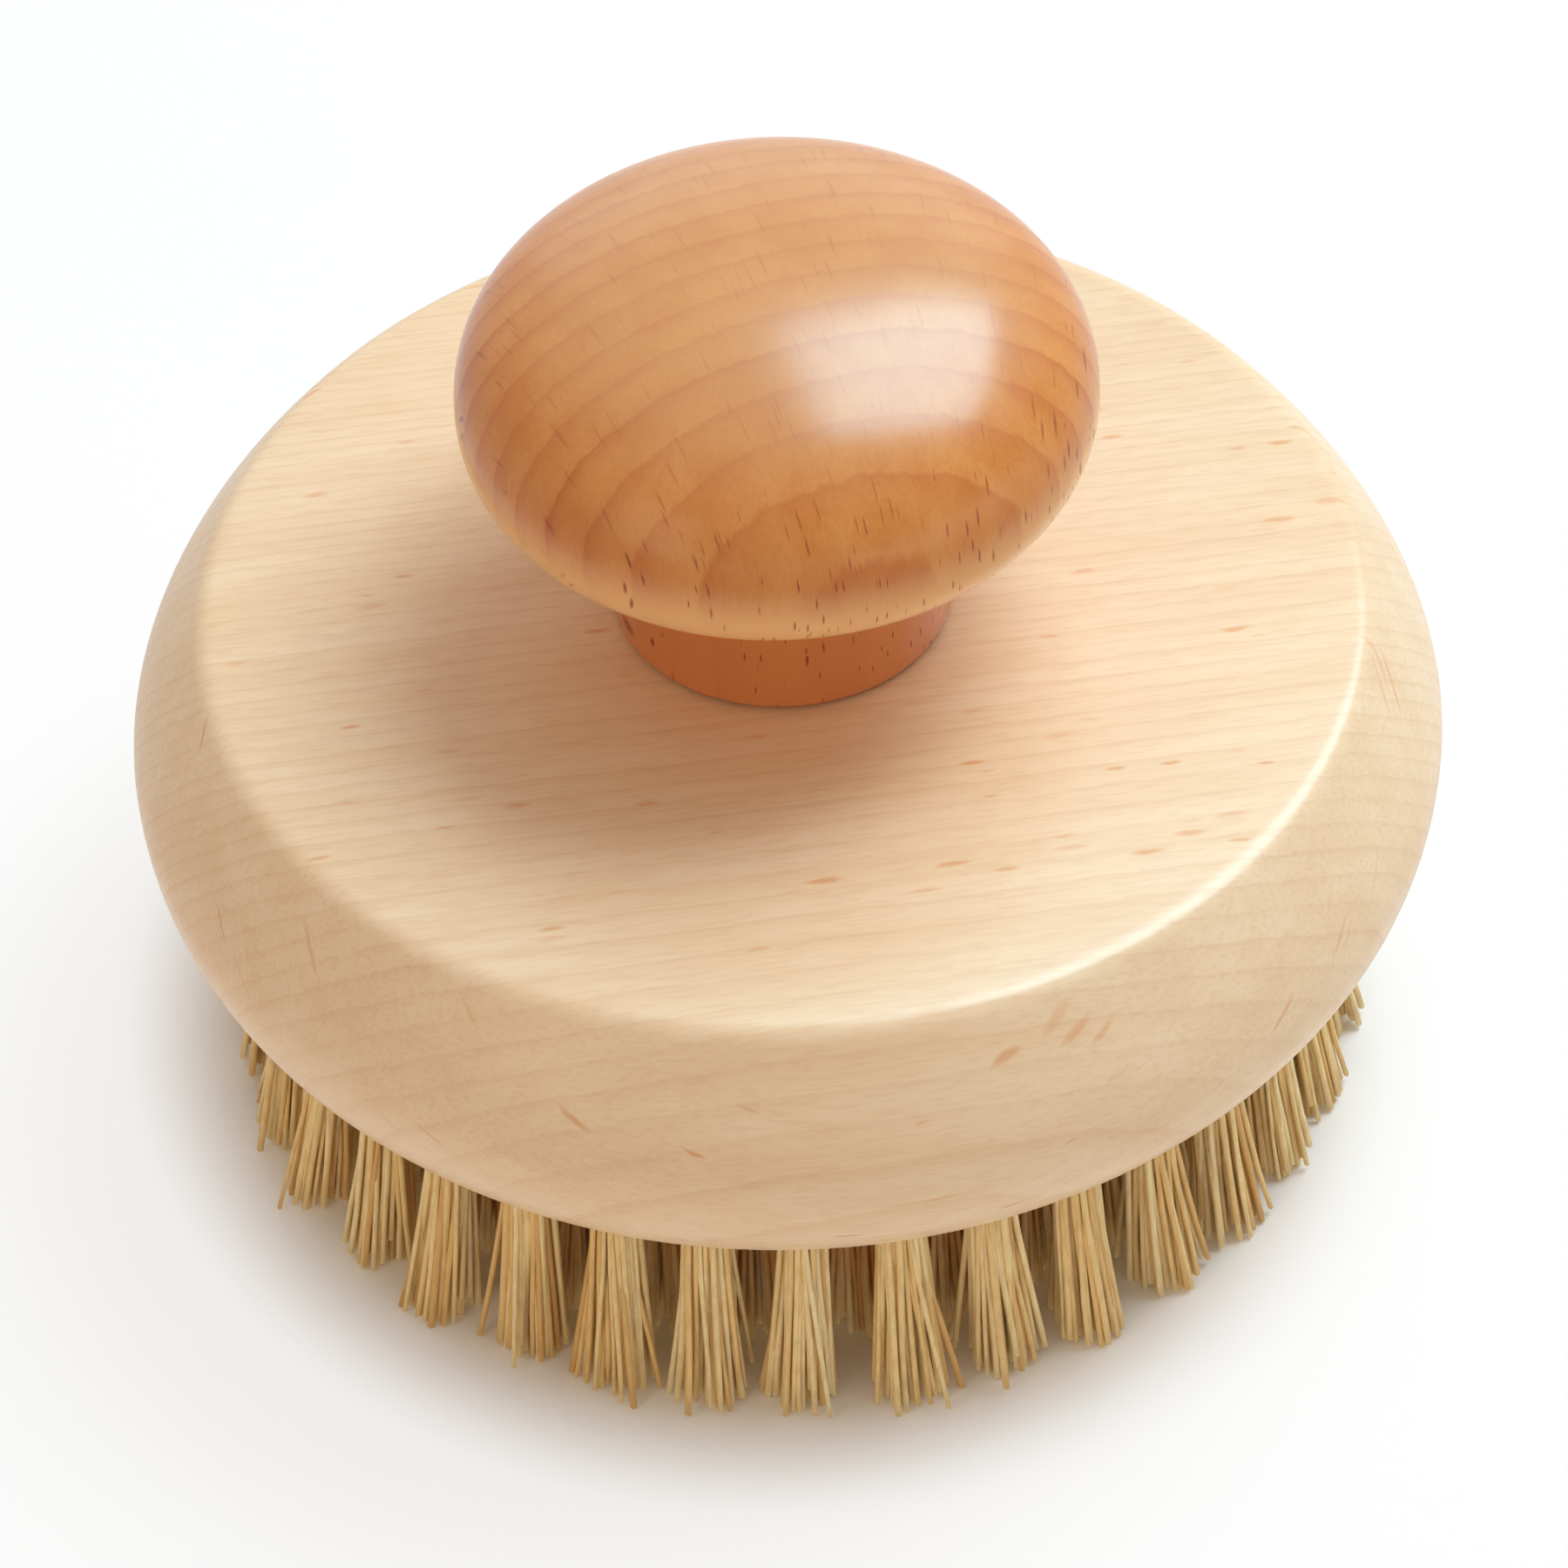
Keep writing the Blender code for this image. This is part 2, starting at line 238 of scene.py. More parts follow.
def cut(piece, cutter):
    """Cut one piece out of another and throw the cutter away."""
    start_editing()
    piece.select_set(True)
    bpy.context.view_layer.objects.active = piece
    boolean = piece.modifiers.new("cut", "BOOLEAN")
    boolean.object = cutter
    boolean.operation = "DIFFERENCE"
    bpy.ops.object.modifier_apply(modifier=boolean.name)
    bpy.data.objects.remove(cutter)


drill = turn_on_lathe(
    "drill",
    [
        (0, hole_depth),
        (hole_radius, hole_depth - drill_point),
        (hole_radius, -drill_run_out),
        (0, -drill_run_out),
    ],
    drill_facets,
)
drills = []
for row, radius in enumerate(row_radii):
    for azimuth in tuft_azimuths(row):
        place = Vector((radius * math.cos(azimuth), radius * math.sin(azimuth), block_low.z))
        drills.append(copy_to(drill, place, azimuth))
bpy.data.objects.remove(drill)
print("tuft holes:", len(drills))
cut(block, join_pieces("tuft_drills", drills))
screw_drill = turn_on_lathe(
    "screw_drill",
    [
        (0, block_high.z + drill_run_out),
        (screw_passage_radius, block_high.z + drill_run_out),
        (screw_passage_radius, screw_low.z + recess_cone_top),
        (screw_recess_radius, screw_low.z + recess_shoulder),
        (screw_recess_radius, block_low.z - drill_run_out),
        (0, block_low.z - drill_run_out),
    ],
    recess_facets,
)
cut(block, screw_drill)
smooth(block)
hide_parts("block")
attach(block, "root")
print("block drilled:", len(block.data.polygons), "faces")

# %% [markdown]
# The knob is one turning too: a broad cap with a rounded dome, a tight rim that rolls under, a flat
# underside and a straight stem with a small cove in the corner. The dome is a touch squarer than an
# ellipse, which is what gives it its flat-topped mushroom look. The pilot hole of the screw runs up inside
# the stem, so the outline carries on inwards past the foot and up the hole to the axis.

# %% Turn the knob
cap_under_radius = 0.01675
stem_radius = 0.0115
cap_widest_level = knob_high.z - 0.0110
cap_under_level = cap_widest_level - 0.0047
cove_radius = 0.0016
dome_fullness = 2.27
foot_edge_round = 0.0004
dome_steps = 28
rim_steps = 12
cove_steps = 8
foot_edge_steps = 4
pilot_taper = 0.0027
pilot_clearance = 0.0006


def knob_outline():
    """Crown, dome, rim, underside, cove, stem and pilot hole, from the top down and in."""
    widest = knob_high.x
    points = [(0, knob_high.z)]
    for step in range(1, dome_steps + 1):
        angle = step / dome_steps * math.pi / 2
        dome = max(0.0, math.cos(angle)) ** (2 / dome_fullness)
        radius = widest * math.sin(angle) ** (2 / dome_fullness)
        points.append((radius, cap_widest_level + (knob_high.z - cap_widest_level) * dome))
    for step in range(1, rim_steps + 1):
        angle = step / rim_steps * math.pi / 2
        radius = cap_under_radius + (widest - cap_under_radius) * math.cos(angle)
        points.append((radius, cap_widest_level - (cap_widest_level - cap_under_level) * math.sin(angle)))
    for step in range(cove_steps + 1):
        angle = step / cove_steps * math.pi / 2
        radius = stem_radius + cove_radius * (1 - math.sin(angle))
        points.append((radius, cap_under_level - cove_radius * (1 - math.cos(angle))))
    foot = knob_low.z
    points += rounded_corner(
        (stem_radius, cap_under_level), (stem_radius, foot), (0, foot), foot_edge_round, foot_edge_steps
    )
    points.append((screw_passage_radius, foot))
    points.append((screw_passage_radius, screw_high.z - pilot_taper))
    points.append((0, screw_high.z + pilot_clearance))
    return points


knob = turn_on_lathe("knob_wood", knob_outline(), lathe_facets)
smooth(knob)
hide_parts("knob")
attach(knob, "root")
print("knob turned:", len(knob.data.polygons), "faces")

# %% [markdown]
# Every material here is a tree of shader nodes. A few small helpers keep the code short: they add a node
# with all its inputs, link an output or set a plain value, calculate, rescale, make noise and blend two
# colours. The last ones give the place of a point, its distance from the axis, and a colour as it was read
# from a screen.

# %% Helpers for shader nodes
def add_node(tree, kind, settings=None, **sockets):
    """Add a node, give it settings, and set or link its inputs by name (spaces as underscores)."""
    node = tree.nodes.new(kind)
    for key, value in (settings or {}).items():
        setattr(node, key, value)
    for key, value in sockets.items():
        index = int(key[1:]) if key[0] == "_" and key[1:].isdigit() else key.replace("_", " ")
        connect(tree, node.inputs[index], value)
    return node


def connect(tree, socket, value):
    """Link an output to a socket, or set the socket to a plain value."""
    if isinstance(value, bpy.types.NodeSocket):
        tree.links.new(value, socket)
    else:
        socket.default_value = value


def calculate(tree, operation, *values):
    """Result of a math node."""
    node = tree.nodes.new("ShaderNodeMath")
    node.operation = operation
    for socket, value in zip(node.inputs, values):
        connect(tree, socket, value)
    return node.outputs[0]


def rescale(tree, value, low, high, to_low=0.0, to_high=1.0, smooth_step=True):
    """Value moved from one range to another, held within it."""
    node = tree.nodes.new("ShaderNodeMapRange")
    node.interpolation_type = "SMOOTHSTEP" if smooth_step else "LINEAR"
    for socket, number in zip(node.inputs, (value, low, high, to_low, to_high)):
        connect(tree, socket, number)
    return node.outputs[0]


def blend_colour(tree, share, colour, over, mode="MIX"):
    """Mix of two colours, each an output or four numbers."""
    node = tree.nodes.new("ShaderNodeMix")
    node.data_type = "RGBA"
    node.blend_type = mode
    connect(tree, node.inputs["Factor"], share)
    connect(tree, node.inputs[6], colour)
    connect(tree, node.inputs[7], over)
    return node.outputs[2]


def noise(tree, vector, scale, detail=2.0, roughness=0.5):
    """Noise between 0 and 1 at points of a vector."""
    return add_node(
        tree, "ShaderNodeTexNoise", Vector=vector, Scale=scale, Detail=detail, Roughness=roughness
    ).outputs["Fac"]


def stretch(tree, vector, factors):
    """Vector with each part multiplied."""
    node = tree.nodes.new("ShaderNodeVectorMath")
    node.operation = "MULTIPLY"
    connect(tree, node.inputs[0], vector)
    connect(tree, node.inputs[1], factors)
    return node.outputs[0]


def own_place(tree):
    """Place of a point, in metres from the origin of its own piece."""
    return tree.nodes.new("ShaderNodeTexCoord").outputs["Object"]


def distance_from_axis(tree, place):
    """Distance of a place from the Z axis."""
    flat = stretch(tree, place, (1, 1, 0))
    return add_node(tree, "ShaderNodeVectorMath", {"operation": "LENGTH"}, _0=flat).outputs["Value"]


def srgb(red, green, blue):
    """Colour as a screen shows it, 0 to 255, turned into the linear values that shaders take."""
    def linear(value):
        value /= 255
        return value / 12.92 if value <= 0.04045 else ((value + 0.055) / 1.055) ** 2.4
    return (linear(red), linear(green), linear(blue), 1.0)


# %% [markdown]
# Beech is known by three things, and the wood pattern is built from them. Growth rings are cylinders round
# the pith of the tree: a ring starts pale and darkens, then ends in a clear edge where the next one starts.
# The rings waver slowly, their edges are a little ragged, some are fainter than others, and they stand
# closer together the further they lie from the pith. Rays are thin plates that run out from the pith along
# the trunk: where the surface cuts across them they show as short dark dashes. Pores are far finer streaks
# along the trunk.
#
# All of it is worked out in round coordinates about the pith, so the same pattern shows arcs on the knob's
# crown and dashes on its stem, as real wood does. Both woods use it with other values, so it is one shader
# node group that gives out only masks.

# %% The wood pattern, a group of masks
def wood_group():
    """Growth rings, ray flecks, pores and slow colour drift round a pith that runs along the vector's Z."""
    tree = bpy.data.node_groups.new("beech_figure", "ShaderNodeTree")
    for label, kind, value in (
        ("Vector", "NodeSocketVector", None),
        ("Ring Width", "NodeSocketFloat", 0.0025),
        ("Ring Waver", "NodeSocketFloat", 0.0010),
        ("Ring Narrowing", "NodeSocketFloat", 5.0),
        ("Ring Sharpness", "NodeSocketFloat", 2.5),
        ("Pith Distance", "NodeSocketFloat", 0.0600),
        ("Fleck Length", "NodeSocketFloat", 0.0050),
        ("Fleck Width", "NodeSocketFloat", 0.0006),
        ("Fleck Reach", "NodeSocketFloat", 0.0080),
        ("Fleck Waver", "NodeSocketFloat", 0.0004),
        ("Fleck Share", "NodeSocketFloat", 0.5),
    ):
        socket = tree.interface.new_socket(label, in_out="INPUT", socket_type=kind)
        if value is not None:
            socket.default_value = value
    for label in ("Rings", "Flecks", "Pores", "Drift"):
        tree.interface.new_socket(label, in_out="OUTPUT", socket_type="NodeSocketFloat")
    given = tree.nodes.new("NodeGroupInput").outputs
    result = tree.nodes.new("NodeGroupOutput").inputs

    # Round coordinates about the pith
    parts = add_node(tree, "ShaderNodeSeparateXYZ", Vector=given["Vector"]).outputs
    radius = distance_from_axis(tree, given["Vector"])
    angle = calculate(tree, "ARCTAN2", parts[1], parts[0])

    # Growth rings: a slow waver, a ragged edge, and narrower rings further out
    slow = noise(tree, stretch(tree, given["Vector"], (1, 1, 0.25)), scale=70, detail=3, roughness=0.55)
    waver = calculate(tree, "MULTIPLY", calculate(tree, "SUBTRACT", slow, 0.5), given["Ring Waver"])
    ragged = noise(tree, stretch(tree, given["Vector"], (1, 1, 0.3)), scale=900, detail=2, roughness=0.6)
    ragged = calculate(tree, "MULTIPLY", calculate(tree, "MULTIPLY", ragged, 0.25), given["Ring Width"])
    waver = calculate(tree, "ADD", waver, ragged)
    beyond = calculate(tree, "SUBTRACT", radius, given["Pith Distance"])
    beyond = calculate(tree, "MULTIPLY", calculate(tree, "MULTIPLY", beyond, beyond), given["Ring Narrowing"])
    grown = calculate(tree, "ADD", calculate(tree, "ADD", radius, waver), beyond)
    count = calculate(tree, "DIVIDE", grown, given["Ring Width"])
    share = calculate(tree, "FRACT", count)
    late = calculate(tree, "POWER", share, given["Ring Sharpness"])
    late = calculate(tree, "MULTIPLY", late, rescale(tree, share, 1.0, 0.90))
    which = add_node(
        tree, "ShaderNodeTexWhiteNoise", {"noise_dimensions": "1D"}, W=calculate(tree, "FLOOR", count)
    ).outputs["Value"]
    boldness = rescale(tree, which, 0.0, 1.0, 0.55, 1.0)
    connect(tree, result["Rings"], calculate(tree, "MULTIPLY", late, boldness))

    # Ray flecks: one longish cell for each, with its own size and depth
    jitter = noise(tree, given["Vector"], scale=420, detail=2)
    around = calculate(tree, "MULTIPLY", angle, given["Pith Distance"])
    around = calculate(tree, "ADD", around, calculate(tree, "MULTIPLY", jitter, given["Fleck Waver"]))
    cell = add_node(
        tree, "ShaderNodeCombineXYZ",
        X=calculate(tree, "DIVIDE", radius, given["Fleck Reach"]),
        Y=calculate(tree, "DIVIDE", around, given["Fleck Width"]),
        Z=calculate(tree, "DIVIDE", parts[2], given["Fleck Length"]),
    ).outputs[0]
    spots = add_node(tree, "ShaderNodeTexVoronoi", {"feature": "F1"}, Vector=cell, Scale=1.0, Randomness=1.0)
    chance = add_node(tree, "ShaderNodeSeparateColor", Color=spots.outputs["Color"]).outputs
    size = rescale(tree, chance[0], 0.0, 1.0, 0.16, 0.34)
    core = rescale(tree, calculate(tree, "DIVIDE", spots.outputs["Distance"], size), 1.0, 0.35)
    threshold = calculate(tree, "SUBTRACT", 1.0, given["Fleck Share"])
    depth = rescale(tree, chance[1], threshold, calculate(tree, "ADD", threshold, 0.5))
    connect(tree, result["Flecks"], calculate(tree, "MULTIPLY", core, depth))

    # Pores, and the slow drift of the wood's colour
    fine = noise(tree, stretch(tree, given["Vector"], (1, 1, 0.10)), scale=3800, detail=2, roughness=0.6)
    connect(tree, result["Pores"], rescale(tree, fine, 0.42, 0.72))
    drift = noise(tree, stretch(tree, given["Vector"], (1, 1, 0.15)), scale=260, detail=3, roughness=0.6)
    connect(tree, result["Drift"], drift)
    return tree


beech_figure = wood_group()
print("wood pattern nodes:", len(beech_figure.nodes))

# %% [markdown]
# The block is pale, almost cream, under a thin clear lacquer. Its grain runs from left to right with a
# slight turn, and the board was cut so that the rings pass through it at a slant: on the round side they
# cross the rays and make a faint grid, while on top the rays show as short orange dashes. A Mapping node
# lays the pith of the pattern in its place. It is turned by a small helper that takes the direction of the
# fibres and the direction away from the pith, which are what one can see on a real piece of wood. The
# lacquer is the coat layer of the shader. It fills the pores, so the wood below it has no gloss of its own.

# %% Pale beech
def new_material(name):
    """Material with a Principled shader, and the shader and tree to build on."""
    material = bpy.data.materials.new(name)
    material.use_nodes = True
    tree = material.node_tree
    return material, tree, tree.nodes["Principled BSDF"]


def figured(tree, centre, fibres, outward, pith_distance, **values):
    """Wood pattern of a piece whose centre, fibre direction and direction away from the pith are known."""
    along = Vector(fibres).normalized()
    away = Vector(outward)
    away = (away - along * along.dot(away)).normalized()
    turn = Matrix((away, along.cross(away), along)).transposed().to_euler()
    mapped = add_node(
        tree, "ShaderNodeMapping", {"vector_type": "TEXTURE"},
        Vector=own_place(tree), Location=tuple(Vector(centre) - away * pith_distance), Rotation=tuple(turn),
    ).outputs[0]
    group = tree.nodes.new("ShaderNodeGroup")
    group.node_tree = beech_figure
    connect(tree, group.inputs["Vector"], mapped)
    group.inputs["Pith Distance"].default_value = pith_distance
    for label, value in values.items():
        group.inputs[label.replace("_", " ")].default_value = value
    return group.outputs


def tint(tree, colour, mask, strength, over):
    """Colour with another laid over it where a mask is high."""
    return blend_colour(tree, calculate(tree, "MULTIPLY", mask, strength), colour, over)


def relief(tree, wood, depth, strength):
    """Bump from the pores and flecks, which lie a little lower than the wood."""
    height = calculate(tree, "MULTIPLY", calculate(tree, "ADD", wood["Pores"], wood["Flecks"]), -0.5)
    return add_node(tree, "ShaderNodeBump", Strength=strength, Distance=depth, Height=height).outputs[0]


def lacquer(shader, weight, roughness, ior):
    """Clear coat over wood that has no gloss of its own."""
    shader.inputs["Specular IOR Level"].default_value = 0.0
    shader.inputs["Coat Weight"].default_value = weight
    shader.inputs["Coat Roughness"].default_value = roughness
    shader.inputs["Coat IOR"].default_value = ior


def pale_beech():
    """Cream beech with slanting rings and orange dashes, under a thin satin lacquer."""
    material, tree, shader = new_material("pale_beech")
    wood = figured(
        tree, centre=(0, 0, widest_level), fibres=(0.99, 0.13, 0), outward=(-0.11, 0.85, 0.52),
        pith_distance=0.300,
        Ring_Width=0.0012, Ring_Waver=0.0014, Ring_Narrowing=8.0, Ring_Sharpness=4.5,
        Fleck_Length=0.0048, Fleck_Width=0.00066, Fleck_Reach=0.0110, Fleck_Waver=0.0003, Fleck_Share=0.50,
    )
    cream, tan = srgb(244, 217, 183), srgb(239, 208, 170)
    colour = blend_colour(tree, rescale(tree, wood["Drift"], 0.3, 0.7), cream, tan)
    colour = tint(tree, colour, wood["Rings"], 0.34, srgb(214, 160, 110))
    colour = tint(tree, colour, wood["Pores"], 0.20, srgb(214, 164, 114))
    colour = tint(tree, colour, wood["Flecks"], 0.58, srgb(220, 140, 70))
    connect(tree, shader.inputs["Base Color"], colour)
    connect(tree, shader.inputs["Roughness"], rescale(tree, wood["Pores"], 0, 1, 0.45, 0.55))
    connect(tree, shader.inputs["Normal"], relief(tree, wood, depth=0.00004, strength=0.10))
    lacquer(shader, weight=0.70, roughness=0.25, ior=1.40)
    return material


def dress(piece, material):
    """Give a piece one material."""
    piece.data.materials.clear()
    piece.data.materials.append(material)


dress(block, pale_beech())
print("block finish:", block.data.materials[0].name)

# %% [markdown]
# The knob is beech too, darker, under a thicker clear lacquer. It was turned from a squared stick with the
# grain standing upright, and the pith lay well in front of it and a little to the right. So the rings pass
# through it as almost flat upright sheets, which the dome cuts into nested arcs, and the rays stand as
# short dark dashes. Four changes follow the height on the knob. Ring edges and dashes are faint on the
# crown and bold low on the cap. The crown is painted paler and hazier, a painted sheen of reflected light.
# The rim is painted paler, as painted light from below, and the stem under the cap is painted darker, as
# painted shade. The lacquer is smooth enough to mirror a window as a soft patch.

# %% Honey lacquered beech
def honey_beech():
    """Darker beech with upright rings and short dashes, under a glossier lacquer."""
    material, tree, shader = new_material("honey_beech")
    wood = figured(
        tree, centre=(0, 0, cap_widest_level), fibres=(-0.04, 0.02, 1), outward=(-0.27, 0.96, 0),
        pith_distance=0.07732,
        Ring_Width=0.0027, Ring_Waver=0.0012, Ring_Narrowing=5.0, Ring_Sharpness=3.4,
        Fleck_Length=0.0026, Fleck_Width=0.00047, Fleck_Reach=0.0060, Fleck_Waver=0.0002, Fleck_Share=1.15,
    )

    # How far each change that follows the height has gone
    height = add_node(tree, "ShaderNodeSeparateXYZ", Vector=own_place(tree)).outputs[2]
    ring_fade = rescale(tree, height, cap_widest_level, knob_high.z - 0.0030, 1.0, 0.74)
    fleck_fade = rescale(tree, height, cap_widest_level + 0.0030, knob_high.z - 0.0025, 0.84, 0.16)
    # painted sheen: the crown is made paler and hazier, standing in for reflected light
    crown = rescale(tree, height, cap_widest_level + 0.0055, knob_high.z - 0.0008, 0.0, 0.45)
    # painted light: the rim is made paler, standing in for light from below
    rim = rescale(tree, height, cap_widest_level + 0.0025, cap_widest_level - 0.0014, 0.0, 0.76)
    # painted shade: the stem under the cap is made darker and redder
    stem = rescale(tree, height, cap_under_level + 0.0004, cap_under_level - 0.0008)

    # Colour, from the bare wood up to the painted shade under the cap
    honey, amber = srgb(221, 147, 76), srgb(212, 132, 60)
    colour = blend_colour(tree, rescale(tree, wood["Drift"], 0.3, 0.7), honey, amber)
    rings = calculate(tree, "MULTIPLY", wood["Rings"], ring_fade)
    colour = tint(tree, colour, rings, 0.96, srgb(186, 82, 24))
    colour = tint(tree, colour, wood["Pores"], 0.18, srgb(176, 94, 38))
    # painted sheen on the crown, standing in for reflected light
    colour = blend_colour(tree, crown, colour, srgb(206, 160, 118))
    # painted light on the rim, standing in for light from below
    colour = blend_colour(tree, rim, colour, srgb(246, 196, 142))
    flecks = calculate(tree, "MULTIPLY", wood["Flecks"], fleck_fade)
    colour = blend_colour(tree, flecks, colour, srgb(152, 66, 26))
    # painted shade under the cap, multiplied into the stem's colour
    under_cap_painted_shade = (0.78, 0.50, 0.38, 1.0)
    colour = blend_colour(tree, stem, colour, under_cap_painted_shade, "MULTIPLY")
    connect(tree, shader.inputs["Base Color"], colour)
    connect(tree, shader.inputs["Roughness"], rescale(tree, wood["Pores"], 0, 1, 0.40, 0.52))
    connect(tree, shader.inputs["Normal"], relief(tree, wood, depth=0.00004, strength=0.08))
    lacquer(shader, weight=1.0, roughness=0.225, ior=1.38)
    return material


dress(knob, honey_beech())
print("knob finish:", knob.data.materials[0].name)

# %% [markdown]
# Each tuft is a bundle of stiff plant fibres, folded double over a flat wire and driven into its hole. The
# fibres leave the hole side by side, fan out a little, and are trimmed level. A few stray ones stand apart.
# One fibre is modelled here, as a thin stalk with five sides, cut into rings so that every copy can be bent
# along its own path and thinned a touch towards its tip.

# %% One fibre
fibre_radius = 0.00024
fibre_sides = 5
fibre_rings = 6


def model_fibre():
    """Stalk one unit long, standing on the origin, with rings of corners to bend it by."""
    start_editing()
    bpy.ops.mesh.primitive_cylinder_add(vertices=fibre_sides, radius=1, depth=1, location=(0, 0, 0.5))
    stalk = bpy.context.active_object
    bpy.ops.object.mode_set(mode="EDIT")
    for ring in range(1, fibre_rings - 1):
        bpy.ops.mesh.select_all(action="SELECT")
        bpy.ops.mesh.bisect(plane_co=(0, 0, ring / (fibre_rings - 1)), plane_no=(0, 0, 1))
    bpy.ops.object.mode_set(mode="OBJECT")
    stalk.data.transform(Matrix.Translation((0, 0, 0.5)))
    stalk.location = (0, 0, 0)
    stalk.name = "fibre_stalk"
    return stalk


stalk = model_fibre()
stalk_corners = [corner.co.copy() for corner in stalk.data.vertices]
stalk_faces = [tuple(face.vertices) for face in stalk.data.polygons]
print("one fibre:", len(stalk_corners), "corners,", len(stalk_faces), "faces, height",
      round(max(corner.z for corner in stalk_corners), 3))

# %% [markdown]
# A tuft is planted by copying the stalk along bent paths. The fibres fill the hole evenly when each stands
# a golden angle further round than the last, as seeds do in a sunflower. Every fibre starts inside its
# hole, upright, and leans out more and more towards its tip. Fibres near the edge of the hole lean most, so
# the tuft opens like a fan, the inner tufts more than the outer ones. The further a tuft is from the middle
# of the brush, the more it leans away from it. Chance decides the small things: a nudge in place, how far a
# fibre strays (about one in eight strays a lot), how thick it is and exactly where the trimming blade
# caught it. The numbers are seeded, so the brush comes out the same each time. Each fibre also carries two
# numbers on its corners for the material: its own tone, and how far along the fibre a corner lies.

# %% Plant the tufts
root_spread = 0.00125
outer_lean = 0.0025
fan_spread = 0.00100
inner_fan_spread = 0.00150
tuft_lean_scatter = 0.0005
root_start = 0.0015
bend_power = 1.25
straight_share = 0.88
slight_stray = 0.0003
least_stray = 0.0007
most_stray = 0.0024
stray_turn = 1.3
tip_scatter = 0.00028
wave_size = 0.00018
wave_bends = 1.6
root_girth = 1.03
girth_lost = 0.08
trimmed_share = 0.93
trim_waver = 0.0006
missed_trim = 0.0022
fibres_in_outer_tuft = 72
fibres_in_inner_tuft = 60
golden_angle = math.pi * (3 - math.sqrt(5))


def fibre_path(root, tip, share):
    """Point on the bent line of a fibre: upright at its root, leaning more towards its tip."""
    bend = share**bend_power
    return Vector((
        root.x + (tip.x - root.x) * bend,
        root.y + (tip.y - root.y) * bend,
        root.z + (tip.z - root.z) * share,
    ))


def either_way(chance):
    """Level vector with two random parts between -1 and 1."""
    return Vector((chance.uniform(-1, 1), chance.uniform(-1, 1), 0))


def grow_fibre(corners, faces, tones, shares, chance, place, centre, outward, spread):
    """Add one fibre of the tuft that stands at a hole's centre, leans outward and opens by a spread."""
    turn = place[1] + chance.uniform(-0.2, 0.2)
    reach = place[0] * chance.uniform(0.94, 1.06)
    spot = Vector((math.cos(turn), math.sin(turn), 0)) * reach
    root = centre + spot * root_spread
    root.z = block_low.z + root_start
    strays = chance.random() >= straight_share
    stray = chance.uniform(least_stray, most_stray) if strays else chance.uniform(0, slight_stray)
    tip = centre + spot * (root_spread + spread) + outward
    tip += Vector((math.cos(turn + stray_turn), math.sin(turn + stray_turn), 0)) * stray
    tip += either_way(chance) * tip_scatter
    missed = chance.random() >= trimmed_share
    tip.z = chance.uniform(0.0, missed_trim if missed else trim_waver)
    wave = either_way(chance) * wave_size
    thickness = fibre_radius * chance.uniform(0.75, 1.2)
    tone = chance.random()
    spin = chance.uniform(0, 2 * math.pi)
    first = len(corners)
    for corner in stalk_corners:
        middle = fibre_path(root, tip, corner.z) + wave * math.sin(corner.z * math.pi * wave_bends)
        around = Matrix.Rotation(spin, 3, "Z") @ Vector((corner.x, corner.y, 0))
        corners.append(middle + around * thickness * (root_girth - girth_lost * corner.z))
        tones.append(tone)
        shares.append(corner.z)
    faces.extend(tuple(first + index for index in reversed(face)) for face in stalk_faces)


def plant(name, places, fibres_each, spread, seed):
    """One piece of fibres, planted in several holes given as (radius, azimuth)."""
    chance = random.Random(seed)
    corners, faces, tones, shares = [], [], [], []
    for radius, azimuth in places:
        outward = Vector((math.cos(azimuth), math.sin(azimuth), 0))
        lean = outward * outer_lean * radius / outer_row_radius
        lean += either_way(chance) * tuft_lean_scatter
        first_turn = chance.uniform(0, 2 * math.pi)
        for index in range(fibres_each):
            place = (math.sqrt((index + 0.5) / fibres_each), first_turn + index * golden_angle)
            grow_fibre(corners, faces, tones, shares, chance, place, outward * radius, lean, spread)
    mesh = bpy.data.meshes.new(name)
    mesh.from_pydata(corners, [], faces)
    for label, values in (("tone", tones), ("along", shares)):
        mesh.attributes.new(label, "FLOAT", "POINT").data.foreach_set("value", values)
    mesh.shade_smooth()
    piece = bpy.data.objects.new(name, mesh)
    bpy.context.collection.objects.link(piece)
    return piece


fibre_pieces = []
for index, azimuth in enumerate(tuft_azimuths(0)):
    node = f"outer_tuft_{index + 1:02d}"
    places = [(row_radii[0], azimuth)]
    piece = plant(node + "_fibres", places, fibres_in_outer_tuft, fan_spread, 100 + index)
    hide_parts(node)
    fibre_pieces.append(piece)
for row in range(1, 5):
    node = f"tuft_row_{row + 1}"
    places = [(row_radii[row], azimuth) for azimuth in tuft_azimuths(row)]
    piece = plant(node + "_fibres", places, fibres_in_inner_tuft, inner_fan_spread, 200 + row)
    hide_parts(node)
    fibre_pieces.append(piece)
for piece in fibre_pieces:
    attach(piece, "root")
bpy.data.objects.remove(stalk)
fibre_faces = sum(len(piece.data.polygons) for piece in fibre_pieces)
print("fibre pieces:", len(fibre_pieces), "faces:", fibre_faces)
